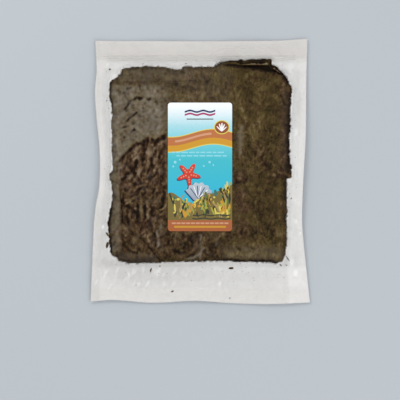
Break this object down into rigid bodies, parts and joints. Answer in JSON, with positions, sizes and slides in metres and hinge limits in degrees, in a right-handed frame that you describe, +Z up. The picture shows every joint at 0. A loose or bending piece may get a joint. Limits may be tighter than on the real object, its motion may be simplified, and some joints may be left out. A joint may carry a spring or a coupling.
{
  "type": "pouch of dried brown seaweed sheets",
  "caption": "Flat clear zip pouch filled with a stack of thin, ragged, crumpled dried brown seaweed sheets, with a tall paper label on its front.",
  "frame": {"origin": "middle of the pack's underside as it lies on its back: the centre of its width and height, at the level of the table", "axes": "+Z up, out of the labelled front; +Y towards the zip, the pack's height; +X to the right as the label is seen"},
  "size_m": [0.2306, 0.2788, 0.015],
  "materials": {
    "film": "soft sheen, clear where it touches the sheets and slightly cloudy in the margins",
    "seaweed": "dry, fibrous, crumpled",
    "label_paper": "printed, satin"
  },
  "bodies": {
    "root": {"seaweed_bag": "film", "label": "label_paper"}
  },
  "joints": []
}
